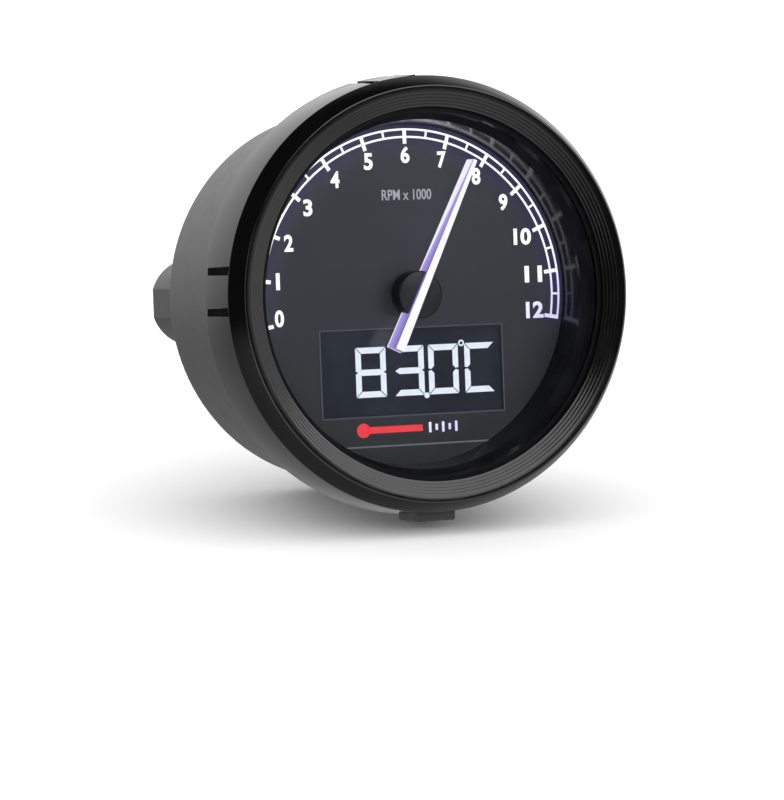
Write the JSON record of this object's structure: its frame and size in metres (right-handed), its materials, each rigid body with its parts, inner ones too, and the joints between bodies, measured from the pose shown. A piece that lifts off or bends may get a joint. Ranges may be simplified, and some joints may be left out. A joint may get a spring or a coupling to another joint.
{
  "type": "instrument cluster",
  "caption": "Round motorcycle instrument with a stepper-driven rev pointer, a liquid-crystal temperature display, a ringed bezel, a setting button and rear threaded bosses.",
  "frame": {"origin": "midway between the two threaded inserts, on the rear face of the mounting bosses", "axes": "+Y runs to the rear along the instrument's axis, the dial faces -Y, +Z is twelve o'clock and +X is to the rider's right"},
  "size_m": [0.064, 0.045, 0.0649],
  "materials": {
    "bezel_black": "high gloss injection moulding",
    "housing_black": "satin fine-grain moulding",
    "lens_clear": "polished clear",
    "ring_black": "gloss inner wall",
    "dial_black": "screen-printed matt face",
    "rubber_black": "matt rubber",
    "white_diffuser": "white light box moulding",
    "guide_clear": "frosted light guide",
    "lcd_dark": "negative liquid-crystal glass",
    "board_green": "solder mask over glass epoxy",
    "chip_black": "moulded package",
    "metal_tin": "tinned",
    "can_silver": "drawn can",
    "socket_white": "nylon",
    "led_white": "package with lens",
    "screw_steel": "zinc plated",
    "stepper_black": "moulded case",
    "gear_white": "acetal",
    "magnet_dark": "sintered ferrite",
    "copper_wire": "enamelled winding",
    "pointer_clear": "edge-lit acrylic",
    "pointer_white": "hot-foil stripe",
    "hub_black": "satin cap",
    "brass_insert": "knurled, machined",
    "button_black": "satin pad"
  },
  "bodies": {
    "case": {"front_bezel": "bezel_black", "lens": "lens_clear", "lens_gasket": "rubber_black", "dial_ring": "ring_black", "housing_seal": "rubber_black", "dial_plate": "dial_black", "spacer_ring": "white_diffuser", "light_guide": "guide_clear", "lcd_frame": "chip_black", "lcd_glass": "lcd_dark", "lcd_backlight": "white_diffuser", "lcd_pins": "metal_tin", "main_board": "board_green", "dial_leds": "led_white", "control_chip": "chip_black", "clock_crystal": "can_silver", "voltage_regulator": "chip_black", "loom_socket": "socket_white", "capacitors": "can_silver", "board_screws": "screw_steel", "stepper_cover": "stepper_black", "stepper_case": "stepper_black", "gear_arbors": "screw_steel", "stator_plate": "metal_tin", "stepper_coils": "copper_wire", "stepper_pins": "metal_tin", "rear_housing": "housing_black", "mounting_inserts": "brass_insert", "cable_grommet": "rubber_black", "vent_plug": "rubber_black", "button_boot": "rubber_black", "switch_body": "chip_black"},
    "pointer": {"output_gear": "gear_white", "pointer_shaft": "screw_steel", "pointer_blade": "pointer_clear", "pointer_stripe": "pointer_white", "pointer_hub": "hub_black"},
    "idler": {"idler_gear": "gear_white"},
    "rotor": {"rotor_pinion": "gear_white", "rotor_magnet": "magnet_dark"},
    "button": {"adjust_button": "button_black", "switch_plunger": "socket_white"}
  },
  "joints": [
    {"name": "pointer_turn", "type": "hinge", "parent": "case", "child": "pointer", "pos_m": [0, 0, 0], "axis": [0, 1, 0], "range_deg": [-125.8, 74.2]},
    {"name": "idler_turn", "type": "hinge", "parent": "case", "child": "idler", "pos_m": [0.0042, 0, 0.00727], "axis": [0, 1, 0], "continuous": true},
    {"name": "rotor_turn", "type": "hinge", "parent": "case", "child": "rotor", "pos_m": [-0.00204, 0, 0.01087], "axis": [0, 1, 0], "continuous": true},
    {"name": "button_press", "type": "slide", "parent": "case", "child": "button", "axis": [0, 0, 1], "range_m": [0, 0.0006], "stiffness_N_per_m": 1500, "deforming": ["button_boot"]}
  ],
  "couplings": [
    {"joint": "idler_turn", "follows": "pointer_turn", "ratio": -6},
    {"joint": "rotor_turn", "follows": "pointer_turn", "ratio": 30}
  ]
}
